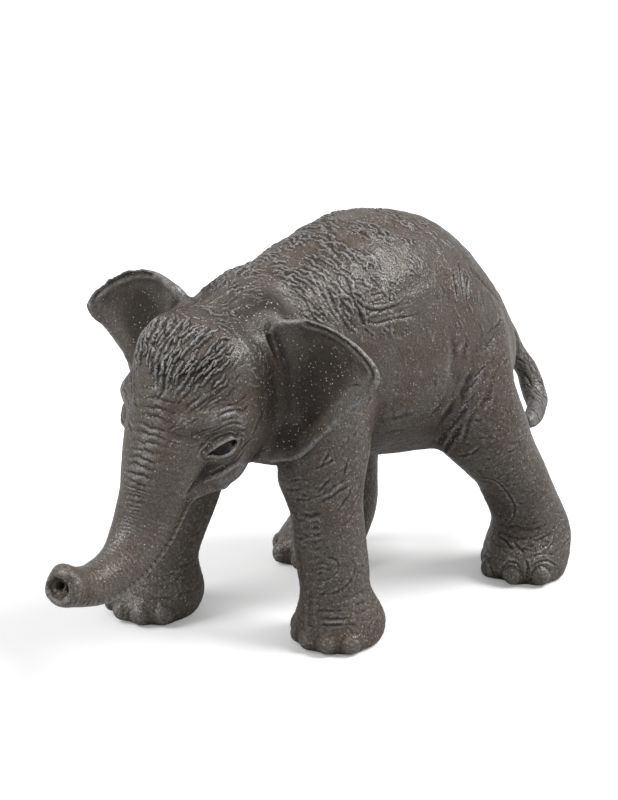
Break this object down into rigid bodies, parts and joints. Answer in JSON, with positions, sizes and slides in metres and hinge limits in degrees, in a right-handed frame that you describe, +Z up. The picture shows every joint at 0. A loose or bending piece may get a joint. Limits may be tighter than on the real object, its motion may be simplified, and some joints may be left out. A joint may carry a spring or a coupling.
{
  "type": "toy elephant calf figure",
  "caption": "Standing elephant calf figure with spread ears, a forward-reaching trunk, striding legs and a hanging tail.",
  "frame": {"origin": "on the ground under the middle of the figure's overall box", "axes": "+Z up, -Y towards the trunk's tip, +X towards the calf's left side"},
  "size_m": [0.0544, 0.1034, 0.0608],
  "materials": {
    "skin_plastic": "solid soft plastic, dark warm grey with a paler rubbed sheen on its ridges and darker creases",
    "eye_gloss": "glossy near-black brown"
  },
  "bodies": {
    "root": {"torso": "skin_plastic", "head_and_trunk": "skin_plastic", "left_ear": "skin_plastic", "right_ear": "skin_plastic", "left_eye": "eye_gloss", "right_eye": "eye_gloss", "left_foreleg": "skin_plastic", "right_foreleg": "skin_plastic", "left_hindleg": "skin_plastic", "right_hindleg": "skin_plastic", "tail": "skin_plastic"}
  },
  "joints": []
}
